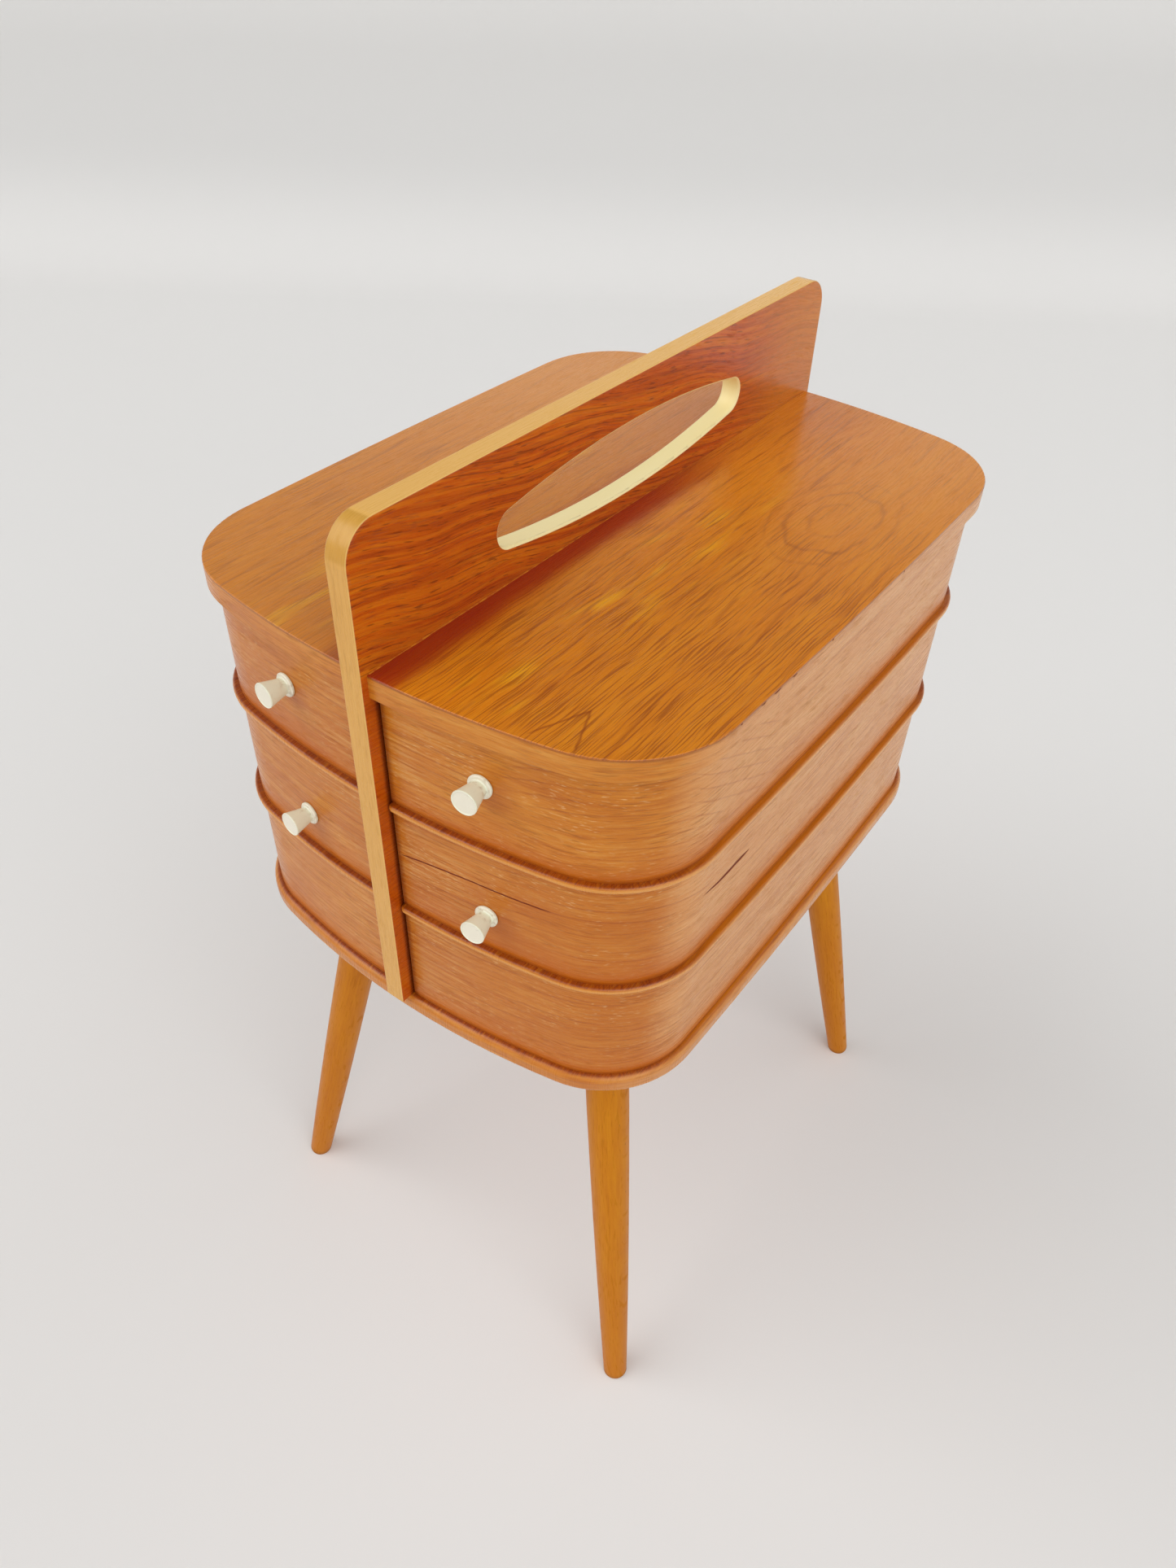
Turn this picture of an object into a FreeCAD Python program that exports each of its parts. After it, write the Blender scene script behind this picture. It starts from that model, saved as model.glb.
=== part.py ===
"""Sewing box on four splayed legs: a centre board with a hand hole, two fixed lids,
four trays that swing out on two upright rods, and two fixed lower compartments.

Millimetres. +Z is up, the floor is Z = 0, X = 0 is the middle plane of the centre board,
and the knob end faces -Y. The right half is drawn and the left half is its mirror image.
"""
import FreeCAD, Part
import math
import os

V = FreeCAD.Vector
os.makedirs("parts", exist_ok=True)

# ---------------------------------------------------------------- plan shape
HALF_LENGTH = 200.0        # lid, middle to its front or rear edge at the board
HALF_WIDTH = 152.0         # lid, middle plane to its long edge
END_R = 512.0              # bow of the short ends
SIDE_R = 6500.0            # slight bow of the long sides
CORNER_R = 61.0            # plan radius of the four corners
BASE_INSET = 0.6           # base panel behind the lid's edge
PLATE_INSET = 1.2          # tray bottom behind the lid's edge
WALL_INSET = 4.8           # tray wall behind the lid's edge

# ---------------------------------------------------------------- thicknesses and heights
BASE_Z = 327.5             # underside of the base panel
BASE_T = 12.0
LID_T = 12.0
FACE_VENEER_T = 0.8        # lid's face veneer, which covers the edging
EDGING_T = 1.0
WALL_T = 6.0               # bent plywood and inner walls
PLATE_T = 4.0              # tray bottom
TIER_GAP = 0.8             # air between one tier and the next
LOWER_WALL_H = 69.5
MIDDLE_WALL_H = 66.0
UPPER_WALL_H = 62.6
BASE_EDGE_R = 4.0
PLATE_EDGE_R = 1.6
LID_EDGE_R = 0.6

# ---------------------------------------------------------------- centre board
BOARD_T = 12.0
BOARD_HALF_LENGTH = 204.0
BOARD_ABOVE_LID = 70.0
BOARD_CORNER_R = 18.0
BAND_T = 2.0               # solid edge band on the front, top and rear edges
BAND_EDGE_R = 0.7
HOLE_HALF_LENGTH = 109.5
HOLE_LOW = 9.8             # lowest point of the hand hole above the lid
HOLE_HIGH = 46.5
HOLE_BOW_R = 570.0         # bow of the hole's long edges
HOLE_END_R = 10.5
HOLE_EDGE_R = 1.6

# ---------------------------------------------------------------- swing-out trays
PLATE_GAP = 0.6            # board face to the inner edge of a tray bottom
FRAME_GAP = 0.9            # board face to the inner wall
PIVOT_R = 16.0             # tray bottom is rounded to this radius about the rod
BLOCK_CORNER_R = 13.0
BLOCK_WIDTH = 32.0
BLOCK_DEPTH = 32.0
FRONT_NOSE_R = 3.0         # front inner corner of a tray bottom
ROD_R = 3.0
ROD_CLEARANCE = 0.05
ROD_SEAT = 8.0             # depth of the rod in the base panel and in the lid
WASHER_R = 7.0
WASHER_T = 0.7

# ---------------------------------------------------------------- knobs
KNOB_X = 61.0
KNOB_ABOVE_PLATE = {"upper": 40.2, "middle": 27.2}
KNOB_LENGTH = 13.7
KNOB_FLANGE_R = 6.4
KNOB_FLANGE_T = 1.7
KNOB_WAIST_R = 4.2
KNOB_HEAD_R = 6.7
KNOB_RIM = 0.6
KNOB_DISH = 0.3
KNOB_SEAT_GAP = 0.05       # flat flange against the bowed wall
KNOB_SCREW_R = 1.5
KNOB_SCREW_HEAD_R = 3.2
KNOB_SCREW_HEAD_T = 1.8
KNOB_SCREW_GRIP = 8.0      # screw length inside the knob

# ---------------------------------------------------------------- legs and fixings
LEG_TOP = (90.6, 127.0)    # leg axis at the base's underside
LEG_FOOT = (150.0, 177.0)  # leg axis at the floor
LEG_TOP_R = 13.5
LEG_MIDDLE_R = 12.0
LEG_FOOT_R = 8.2
LEG_FOOT_EDGE_R = 2.5      # rounding of the turned end, of which the level cut leaves a part
BOLT_R = 4.0
BOLT_IN_LEG = 32.0
BOLT_IN_BASE = 9.0
INSERT_R = 6.0
INSERT_START = 1.5         # along the leg's axis, above the base's underside
INSERT_END = 9.2
FIT = 0.05                 # radial room round glued and screwed fixings
DOWEL_R = 3.0
DOWEL_HALF_LENGTH = 22.0
DOWEL_Y = (-150.0, -75.0, 0.0, 75.0, 150.0)
SCREW_R = 2.0
SCREW_HEAD_R = 4.0
SCREW_HEAD_H = 2.4
SCREW_LENGTH = 40.0
SCREW_Y = (-160.0, -55.0, 55.0, 160.0)

# ---------------------------------------------------------------- derived levels
BASE_TOP_Z = BASE_Z + BASE_T
LOWER_TOP_Z = BASE_TOP_Z + LOWER_WALL_H
MIDDLE_Z = LOWER_TOP_Z + TIER_GAP
MIDDLE_TOP_Z = MIDDLE_Z + PLATE_T + MIDDLE_WALL_H
UPPER_Z = MIDDLE_TOP_Z + TIER_GAP
UPPER_TOP_Z = UPPER_Z + PLATE_T + UPPER_WALL_H
LID_Z = UPPER_TOP_Z + TIER_GAP
LID_TOP_Z = LID_Z + LID_T
BOARD_TOP_Z = LID_TOP_Z + BOARD_ABOVE_LID
BOARD_FACE_X = BOARD_T / 2
PLATE_X = BOARD_FACE_X + PLATE_GAP
FRAME_X = BOARD_FACE_X + FRAME_GAP
END_CENTRE = END_R - HALF_LENGTH      # centre of an end's bow, beyond the middle
FAR = 1000.0                          # longer than anything here

TIERS = {
    "upper": {"z": UPPER_Z, "wall_h": UPPER_WALL_H},
    "middle": {"z": MIDDLE_Z, "wall_h": MIDDLE_WALL_H},
}


# ---------------------------------------------------------------- plan geometry
def arc_about(centre, start, end):
    """Short arc from start to end about centre, in the plane Z = 0."""
    radius = (start - centre).Length
    half_way = ((start - centre) + (end - centre)).normalize() * radius + centre
    return Part.Arc(start, half_way, end).toShape()


def line(start, end):
    return Part.LineSegment(start, end).toShape()


def end_y(inset, x):
    """Distance from the middle to the bowed end line at the given X."""
    return math.sqrt((END_R - inset) ** 2 - x ** 2) - END_CENTRE


def inner_corner(inset, inner_x, radius):
    """Centre of a rounding between the straight inner edge and the bowed end."""
    x = inner_x + radius
    return V(x, end_y(inset + radius, x), 0)


def outer_corner():
    """Centre of the rear plan corner, tangent to the end's bow and the side's bow."""
    end_reach = END_R - CORNER_R
    side_reach = SIDE_R - CORNER_R
    side_x = HALF_WIDTH - SIDE_R
    span = math.hypot(side_x, END_CENTRE)
    along = (end_reach ** 2 - side_reach ** 2 + span ** 2) / (2 * span)
    across = math.sqrt(end_reach ** 2 - along ** 2)
    towards = V(side_x, END_CENTRE, 0).normalize()
    foot = V(0, -END_CENTRE, 0) + towards * along
    return foot + V(towards.y, -towards.x, 0) * across


def turned_to_front(point):
    return V(point.x, -point.y, 0)


def outer_line(inset):
    """Tangent points and centres of the outer line of the right half, rear first."""
    corner = outer_corner()
    end_centre = V(0, -END_CENTRE, 0)
    side_centre = V(HALF_WIDTH - SIDE_R, 0, 0)
    end_tangent = end_centre + (corner - end_centre).normalize() * (END_R - inset)
    side_tangent = side_centre + (corner - side_centre).normalize() * (SIDE_R - inset)
    return corner, end_centre, side_centre, end_tangent, side_tangent


def rounded_side(inset):
    """Edges from the front tangent point round the long side to the rear one."""
    corner, end_centre, side_centre, end_tangent, side_tangent = outer_line(inset)
    return [
        arc_about(turned_to_front(corner), turned_to_front(end_tangent), turned_to_front(side_tangent)),
        arc_about(side_centre, turned_to_front(side_tangent), side_tangent),
        arc_about(corner, side_tangent, end_tangent),
    ]


def half_outline(inset, inner_x, front_r=0.0, rear_r=0.0):
    """Face of the right half from inner_x out; front_r and rear_r round its inner corners."""
    end_centre, end_tangent = outer_line(inset)[1], outer_line(inset)[3]
    front_centre = turned_to_front(end_centre)
    front_start = V(inner_x, -end_y(inset, inner_x), 0)
    rear_end = V(inner_x, end_y(inset, inner_x), 0)
    inner_front, inner_rear = front_start, rear_end
    edges = []
    if front_r > 0:
        nose = turned_to_front(inner_corner(inset, inner_x, front_r))
        inner_front = V(inner_x, nose.y, 0)
        front_start = front_centre + (nose - front_centre).normalize() * (END_R - inset)
        edges.append(arc_about(nose, inner_front, front_start))
    edges.append(arc_about(front_centre, front_start, turned_to_front(end_tangent)))
    edges.extend(rounded_side(inset))
    if rear_r > 0:
        heel = inner_corner(inset, inner_x, rear_r)
        inner_rear = V(inner_x, heel.y, 0)
        rear_end = end_centre + (heel - end_centre).normalize() * (END_R - inset)
        edges.append(arc_about(end_centre, end_tangent, rear_end))
        edges.append(arc_about(heel, rear_end, inner_rear))
    else:
        edges.append(arc_about(end_centre, end_tangent, rear_end))
    edges.append(line(inner_rear, inner_front))
    return Part.Face(Part.Wire(edges))


def full_outline(inset):
    """Face of both halves together."""
    end_centre, end_tangent = outer_line(inset)[1], outer_line(inset)[3]
    right = rounded_side(inset)
    left = [edge.mirror(V(0, 0, 0), V(1, 0, 0)) for edge in right]
    left_rear = V(-end_tangent.x, end_tangent.y, 0)
    ends = [
        arc_about(end_centre, end_tangent, left_rear),
        arc_about(turned_to_front(end_centre), turned_to_front(left_rear), turned_to_front(end_tangent)),
    ]
    return Part.Face(Part.Wire(Part.__sortEdges__(right + left + ends)))


# ---------------------------------------------------------------- solid helpers
def prism(face, z, height):
    solid = face.extrude(V(0, 0, height))
    solid.translate(V(0, 0, z))
    return solid


def box(x0, x1, y0, y1, z0, z1):
    return Part.makeBox(x1 - x0, y1 - y0, z1 - z0, V(x0, y0, z0))


def upright_cylinder(x, y, z0, z1, radius):
    return Part.makeCylinder(radius, z1 - z0, V(x, y, z0))


def turned(profile):
    """Solid turned about Z from (radius, height) corners that start and end on the axis."""
    points = [V(radius, 0, height) for radius, height in profile]
    face = Part.Face(Part.makePolygon(points + points[:1]))
    return face.revolve(V(0, 0, 0), V(0, 0, 1), 360)


def aimed(shape, origin, direction):
    """Copy of a shape with its Z axis laid along direction, from origin."""
    placed = shape.copy()
    placed.Placement = FreeCAD.Placement(origin, FreeCAD.Rotation(V(0, 0, 1), direction))
    return placed


def mirrored(shape):
    return shape.mirror(V(0, 0, 0), V(1, 0, 0))


def level_edges(shape, z_values, keep=lambda edge: True):
    """Edges that lie flat at one of the given heights."""
    chosen = []
    for edge in shape.Edges:
        bounds = edge.BoundBox
        flat = bounds.ZLength < 1e-4
        if flat and min(abs(bounds.ZMin - z) for z in z_values) < 1e-4 and keep(edge):
            chosen.append(edge)
    return chosen


def one_solid(shape):
    """The single solid inside a boolean result."""
    solids = shape.Solids
    if len(solids) != 1:
        raise ValueError("expected one solid, found %d" % len(solids))
    return solids[0]


PIVOT = inner_corner(PLATE_INSET, PLATE_X, PIVOT_R)
BLOCK_FRONT_Y = end_y(WALL_INSET, FRAME_X) - BLOCK_DEPTH


# ---------------------------------------------------------------- frames of the tiers
def rod_bore(z0, z1):
    return upright_cylinder(PIVOT.x, PIVOT.y, z0, z1, ROD_R + ROD_CLEARANCE)


def frame_pieces(z, height):
    """Bent wall, inner wall and pivot block of one tier of the right half."""
    outside = prism(half_outline(WALL_INSET, FRAME_X, 0.0, BLOCK_CORNER_R), z, height)
    inside = prism(half_outline(WALL_INSET + WALL_T, FRAME_X - WALL_T), z, height)
    block_zone = box(FRAME_X - WALL_T, FRAME_X + BLOCK_WIDTH, BLOCK_FRONT_Y, FAR, z, z + height)
    bent_wall = one_solid(outside.cut(inside).cut(block_zone))
    block = one_solid(outside.common(block_zone).cut(rod_bore(z, z + height)))
    inner_zone = box(FRAME_X, FRAME_X + WALL_T, -FAR, BLOCK_FRONT_Y, z, z + height)
    inner_wall = one_solid(inside.common(inner_zone))
    return bent_wall, inner_wall, block


def bottom_plate(z):
    """Tray bottom; its rounded rim stands out all round below the wall."""
    face = half_outline(PLATE_INSET, PLATE_X, FRONT_NOSE_R, PIVOT_R)
    plate = prism(face, z, PLATE_T)
    plate = plate.makeFillet(PLATE_EDGE_R, level_edges(plate, (z, z + PLATE_T)))
    return one_solid(plate.cut(rod_bore(z, z + PLATE_T)))


def knob_axis(z):
    """Point on the wall's outer face at the knob, and the wall's outward direction there."""
    point = V(KNOB_X, -end_y(WALL_INSET, KNOB_X), z)
    outward = V(KNOB_X, point.y - END_CENTRE, 0).normalize()
    return point, outward


def knob():
    """Turned knob: round flange, waist, and a flaring head with a rimmed flat face."""
    neck = KNOB_FLANGE_T + 0.5
    profile = [
        (KNOB_SCREW_R + FIT, 0.0),
        (KNOB_FLANGE_R - 0.3, 0.0),
        (KNOB_FLANGE_R, 0.4),
        (KNOB_FLANGE_R, KNOB_FLANGE_T - 0.5),
        (KNOB_FLANGE_R - 0.5, KNOB_FLANGE_T),
        (KNOB_WAIST_R + 0.4, KNOB_FLANGE_T),
        (KNOB_WAIST_R, neck),
        (KNOB_HEAD_R, KNOB_LENGTH - 0.5),
        (KNOB_HEAD_R - 0.2, KNOB_LENGTH),
        (KNOB_HEAD_R - KNOB_RIM, KNOB_LENGTH),
        (KNOB_HEAD_R - KNOB_RIM - 0.2, KNOB_LENGTH - KNOB_DISH),
        (0.0, KNOB_LENGTH - KNOB_DISH),
        (0.0, KNOB_SCREW_GRIP + 0.5),
        (KNOB_SCREW_R + FIT, KNOB_SCREW_GRIP + 0.5),
    ]
    return turned(profile)


def knob_screw():
    """Round-headed screw; Z = 0 is the wall's outer face, the head is inside the tray."""
    head_z = -WALL_T - 0.1
    return turned([
        (0.0, head_z - KNOB_SCREW_HEAD_T),
        (KNOB_SCREW_HEAD_R - 1.2, head_z - KNOB_SCREW_HEAD_T),
        (KNOB_SCREW_HEAD_R, head_z - 0.5),
        (KNOB_SCREW_HEAD_R, head_z),
        (KNOB_SCREW_R, head_z),
        (KNOB_SCREW_R, KNOB_SCREW_GRIP),
        (0.0, KNOB_SCREW_GRIP),
    ])


def tray_pieces(tier):
    """All pieces of one swing-out tray of the right half."""
    z = TIERS[tier]["z"]
    wall_z = z + PLATE_T
    bent_wall, inner_wall, block = frame_pieces(wall_z, TIERS[tier]["wall_h"])
    point, outward = knob_axis(z + KNOB_ABOVE_PLATE[tier])
    screw_hole = Part.makeCylinder(KNOB_SCREW_R + FIT, 2 * WALL_T, V(0, 0, -1.5 * WALL_T))
    bent_wall = one_solid(bent_wall.cut(aimed(screw_hole, point, outward)))
    return {
        "tray_wall": bent_wall,
        "tray_inner_wall": inner_wall,
        "tray_bottom": bottom_plate(z),
        "pivot_block": block,
        "knob": aimed(knob(), point + outward * KNOB_SEAT_GAP, outward),
        "knob_screw": aimed(knob_screw(), point, outward),
    }


# ---------------------------------------------------------------- rods and washers
def pivot_rod():
    return upright_cylinder(PIVOT.x, PIVOT.y, BASE_TOP_Z - ROD_SEAT, LID_Z + ROD_SEAT, ROD_R)


def rod_sockets():
    """Cutter for the rod's seats in the base panel and in the lid."""
    return upright_cylinder(PIVOT.x, PIVOT.y, BASE_TOP_Z - ROD_SEAT, LID_Z + ROD_SEAT, ROD_R + FIT)


def pivot_washers():
    washers = []
    for z in (LOWER_TOP_Z, MIDDLE_TOP_Z, UPPER_TOP_Z):
        disc = upright_cylinder(PIVOT.x, PIVOT.y, z, z + WASHER_T, WASHER_R)
        washers.append(disc.cut(rod_bore(z, z + WASHER_T)))
    return Part.makeCompound(washers)


# ---------------------------------------------------------------- lids
def dowel_holes():
    reach = DOWEL_HALF_LENGTH + 0.5
    z = LID_Z + LID_T / 2
    holes = [Part.makeCylinder(DOWEL_R + FIT, 2 * reach, V(-reach, y, z), V(1, 0, 0)) for y in DOWEL_Y]
    return Part.makeCompound(holes)


def lid_dowels():
    z = LID_Z + LID_T / 2
    start = -DOWEL_HALF_LENGTH
    length = 2 * DOWEL_HALF_LENGTH
    dowels = [Part.makeCylinder(DOWEL_R, length, V(start, y, z), V(1, 0, 0)) for y in DOWEL_Y]
    return Part.makeCompound(dowels)


def lid_pieces():
    """Lid panel with its face veneer, and the edging strip under the veneer's edge."""
    outer = half_outline(0.0, BOARD_FACE_X)
    core = half_outline(EDGING_T, BOARD_FACE_X)
    veneer_z = LID_TOP_Z - FACE_VENEER_T
    veneer = prism(outer, veneer_z, FACE_VENEER_T)
    rim = [e for e in level_edges(veneer, (LID_TOP_Z,)) if e.BoundBox.XLength > 1e-3]
    veneer = veneer.makeFillet(LID_EDGE_R, rim)
    panel = prism(core, LID_Z, LID_T - FACE_VENEER_T)
    lid = one_solid(panel.fuse(veneer).removeSplitter().cut(rod_sockets()).cut(dowel_holes()))
    edging = prism(outer, LID_Z, LID_T - FACE_VENEER_T).cut(panel)
    return lid, one_solid(edging)


# ---------------------------------------------------------------- centre board
def board_face(inset):
    """Upright face of the board with rounded top corners, at X = 0."""
    half = BOARD_HALF_LENGTH - inset
    top = BOARD_TOP_Z - inset
    radius = BOARD_CORNER_R - inset
    low_front, low_rear = V(0, -half, BASE_TOP_Z), V(0, half, BASE_TOP_Z)
    front_up, rear_up = V(0, -half, top - radius), V(0, half, top - radius)
    front_top, rear_top = V(0, -half + radius, top), V(0, half - radius, top)
    edges = [
        line(low_front, front_up),
        arc_about(V(0, -half + radius, top - radius), front_up, front_top),
        line(front_top, rear_top),
        arc_about(V(0, half - radius, top - radius), rear_top, rear_up),
        line(rear_up, low_rear),
        line(low_rear, low_front),
    ]
    return Part.Face(Part.Wire(edges))


def hand_hole_face():
    """Long slot with bowed edges and rounded ends, at X = 0."""
    middle_z = LID_TOP_Z + (HOLE_LOW + HOLE_HIGH) / 2
    half_height = (HOLE_HIGH - HOLE_LOW) / 2
    end_y_centre = HOLE_HALF_LENGTH - HOLE_END_R
    bow_centre_drop = math.sqrt((HOLE_BOW_R - HOLE_END_R) ** 2 - end_y_centre ** 2)
    lift = HOLE_BOW_R - half_height - bow_centre_drop
    bow_centre = V(0, 0, half_height - HOLE_BOW_R)
    end_centre = V(0, end_y_centre, -lift)
    tangent = bow_centre + (end_centre - bow_centre).normalize() * HOLE_BOW_R
    tip = V(0, HOLE_HALF_LENGTH, 0)
    crown = V(0, 0, half_height)

    def flip(point, y_sign, z_sign):
        return V(0, y_sign * point.y, z_sign * point.z)

    edges = [
        Part.Arc(flip(tangent, -1, 1), crown, tangent).toShape(),
        Part.Arc(flip(tangent, -1, -1), flip(crown, 1, -1), flip(tangent, 1, -1)).toShape(),
        Part.Arc(tangent, tip, flip(tangent, 1, -1)).toShape(),
        Part.Arc(flip(tangent, -1, 1), flip(tip, -1, 1), flip(tangent, -1, -1)).toShape(),
    ]
    face = Part.Face(Part.Wire(Part.__sortEdges__(edges)))
    face.translate(V(0, 0, middle_z))
    return face


def across_board(face):
    """Extrude an upright face through the board's thickness."""
    solid = face.extrude(V(BOARD_T, 0, 0))
    solid.translate(V(-BOARD_FACE_X, 0, 0))
    return solid


def on_board_faces(edge):
    bounds = edge.BoundBox
    return bounds.XLength < 1e-4 and abs(abs(bounds.XMin) - BOARD_FACE_X) < 1e-4


def edge_band():
    """Strip bent over the front, top and rear edges, with softened outer corners."""
    outer = across_board(board_face(0.0))
    rim = [e for e in outer.Edges if on_board_faces(e) and e.BoundBox.ZMax > BASE_TOP_Z + 1]
    outer = outer.makeFillet(BAND_EDGE_R, rim)
    return one_solid(outer.cut(across_board(board_face(BAND_T))))


def centre_board():
    board = across_board(board_face(BAND_T)).cut(across_board(hand_hole_face()))
    low = LID_TOP_Z + 1
    high = BOARD_TOP_Z - BAND_T - 1
    rim = []
    for edge in board.Edges:
        bounds = edge.BoundBox
        if on_board_faces(edge) and bounds.ZMin > low and bounds.ZMax < high and bounds.YLength > 1:
            if max(abs(bounds.YMin), abs(bounds.YMax)) < HOLE_HALF_LENGTH + 1:
                rim.append(edge)
    board = board.makeFillet(HOLE_EDGE_R, rim)
    return one_solid(board.cut(dowel_holes()).cut(board_screws(FIT)))


# ---------------------------------------------------------------- base and fixings
def board_screws(extra=0.0):
    """Countersunk screws up through the base into the board; extra widens them as cutters."""
    shank = SCREW_R + extra
    screw = turned([
        (0.0, 0.0),
        (SCREW_HEAD_R + extra, 0.0),
        (shank, SCREW_HEAD_H),
        (shank, SCREW_LENGTH - 2 * SCREW_R),
        (0.0, SCREW_LENGTH + extra),
    ])
    copies = [aimed(screw, V(0, y, BASE_Z), V(0, 0, 1)) for y in SCREW_Y]
    return Part.makeCompound(copies)


def leg_axis(x_sign, y_sign):
    """Point where a leg's axis meets the base's underside, and its upward direction."""
    top = V(x_sign * LEG_TOP[0], y_sign * LEG_TOP[1], BASE_Z)
    foot = V(x_sign * LEG_FOOT[0], y_sign * LEG_FOOT[1], 0)
    return top, (top - foot).normalize()


LEG_CORNERS = {
    "front_left": (-1, -1),
    "front_right": (1, -1),
    "rear_left": (-1, 1),
    "rear_right": (1, 1),
}


def leg(x_sign, y_sign):
    """Turned leg, cut level at the base's underside and at the floor."""
    top, upward = leg_axis(x_sign, y_sign)
    length = BASE_Z / upward.z
    over = 10.0
    end = -length - LEG_FOOT_R * math.hypot(upward.x, upward.y) / upward.z
    round_centre = V(LEG_FOOT_R - LEG_FOOT_EDGE_R, 0, end + LEG_FOOT_EDGE_R)
    foot_side = V(LEG_FOOT_R, 0, end + LEG_FOOT_EDGE_R)
    foot_end = V(LEG_FOOT_R - LEG_FOOT_EDGE_R, 0, end)
    taper_middle = V(LEG_MIDDLE_R, 0, -0.5 * length)
    taper_top = V(LEG_TOP_R, 0, -0.1 * length)
    edges = [
        line(V(0, 0, end), foot_end),
        arc_about(round_centre, foot_end, foot_side),
        Part.Arc(foot_side, taper_middle, taper_top).toShape(),
        line(taper_top, V(LEG_TOP_R, 0, over)),
        line(V(LEG_TOP_R, 0, over), V(0, 0, over)),
        line(V(0, 0, over), V(0, 0, end)),
    ]
    blank = Part.Face(Part.Wire(edges)).revolve(V(0, 0, 0), V(0, 0, 1), 360)
    blank = aimed(blank, top, upward)
    level = box(-FAR, FAR, -FAR, FAR, 0, BASE_Z)
    shaped = one_solid(blank.common(level))
    bore = Part.makeCylinder(BOLT_R + FIT, BOLT_IN_LEG + over, V(0, 0, -BOLT_IN_LEG - 0.5))
    return one_solid(shaped.cut(aimed(bore, top, upward)))


def leg_bolts():
    rod = Part.makeCylinder(BOLT_R, BOLT_IN_LEG + BOLT_IN_BASE, V(0, 0, -BOLT_IN_LEG))
    rod = rod.makeChamfer(0.8, [e for e in rod.Edges if e.BoundBox.ZLength < 1e-4])
    return Part.makeCompound([aimed(rod, *leg_axis(*signs)) for signs in LEG_CORNERS.values()])


def leg_inserts():
    """Threaded sleeves sunk in the base panel at the legs' slant."""
    length = INSERT_END - INSERT_START
    sleeve = Part.makeCylinder(INSERT_R, length, V(0, 0, INSERT_START))
    sleeve = sleeve.cut(Part.makeCylinder(BOLT_R + FIT, length, V(0, 0, INSERT_START)))
    return Part.makeCompound([aimed(sleeve, *leg_axis(*signs)) for signs in LEG_CORNERS.values()])


def base_panel():
    """Panel under everything, with a rounded edge and the bores for its fixings."""
    panel = prism(full_outline(BASE_INSET), BASE_Z, BASE_T)
    panel = panel.makeFillet(BASE_EDGE_R, level_edges(panel, (BASE_Z, BASE_TOP_Z)))
    panel = panel.cut(board_screws(FIT)).cut(rod_sockets()).cut(mirrored(rod_sockets()))
    bore = Part.makeCylinder(INSERT_R + FIT, INSERT_END + 5.3, V(0, 0, -5.0))
    for signs in LEG_CORNERS.values():
        panel = panel.cut(aimed(bore, *leg_axis(*signs)))
    return one_solid(panel)


# ---------------------------------------------------------------- assembly
def right_half():
    """Every node that is drawn on the right and mirrored to the left."""
    nodes = {}
    for tier in TIERS:
        for piece, shape in tray_pieces(tier).items():
            nodes[tier + "_" + piece] = shape
    lower_wall, inner_wall, block = frame_pieces(BASE_TOP_Z, LOWER_WALL_H)
    nodes["lower_inner_wall"] = inner_wall
    nodes["lower_pivot_block"] = block
    front_half = box(-FAR, FAR, -FAR, 0, 0, FAR)
    nodes["lower_wall_front"] = one_solid(lower_wall.common(front_half))
    nodes["lower_wall_rear"] = one_solid(lower_wall.cut(front_half))
    nodes["lid"], nodes["lid_edging"] = lid_pieces()
    nodes["pivot_rod"] = pivot_rod()
    nodes["pivot_washers"] = pivot_washers()
    return nodes


def build():
    nodes = {}
    for name, shape in right_half().items():
        nodes[name + "_right"] = shape
        nodes[name + "_left"] = mirrored(shape)
    for corner, signs in LEG_CORNERS.items():
        nodes["leg_" + corner] = leg(*signs)
    nodes["base_panel"] = base_panel()
    nodes["centre_board"] = centre_board()
    nodes["board_edge_band"] = edge_band()
    nodes["lid_dowels"] = lid_dowels()
    nodes["board_screws"] = board_screws()
    nodes["leg_bolts"] = leg_bolts()
    nodes["leg_inserts"] = leg_inserts()
    return nodes


for node, shape in build().items():
    shape.exportStep("parts/" + node + ".step")
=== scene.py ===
import math

import bmesh
import bpy
from mathutils import Matrix, Vector, noise


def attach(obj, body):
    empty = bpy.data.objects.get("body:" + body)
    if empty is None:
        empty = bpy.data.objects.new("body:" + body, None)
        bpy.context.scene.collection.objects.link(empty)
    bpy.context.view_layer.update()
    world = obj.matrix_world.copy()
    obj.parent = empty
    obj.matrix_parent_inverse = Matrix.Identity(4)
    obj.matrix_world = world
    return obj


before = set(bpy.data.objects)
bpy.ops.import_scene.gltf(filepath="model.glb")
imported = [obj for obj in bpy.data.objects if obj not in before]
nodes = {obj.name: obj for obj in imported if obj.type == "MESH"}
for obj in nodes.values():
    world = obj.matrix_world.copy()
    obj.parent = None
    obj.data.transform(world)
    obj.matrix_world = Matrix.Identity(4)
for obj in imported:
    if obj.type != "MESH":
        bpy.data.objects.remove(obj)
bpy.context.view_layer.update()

SIDES = {"right": 1, "left": -1}
CORNERS = ("front_left", "front_right", "rear_left", "rear_right")

# Outline of the body in metres. The lids, ledges and base share the corner arcs' middles, and the walls
# follow the same corners a little further in.
CORNER_X = 0.0910
CORNER_Y = 0.1297
LID_R = 0.0610
WALL_R = 0.0562
HALF_BOARD = 0.0060
LID_TOP = 0.5600
LID_HALF = 0.2000
BAND_R = 0.0180
BAND_Y = 0.2040
BOARD_TOP = 0.6300
TIERS = {"lower": (0.3395, 0.4090), "middle": (0.4138, 0.4798), "upper": (0.4846, 0.5472)}
LEG_TOP = Vector((0.0906, 0.1270, 0.3275))
LEG_FOOT = Vector((0.1500, 0.1770, 0.0))

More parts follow.
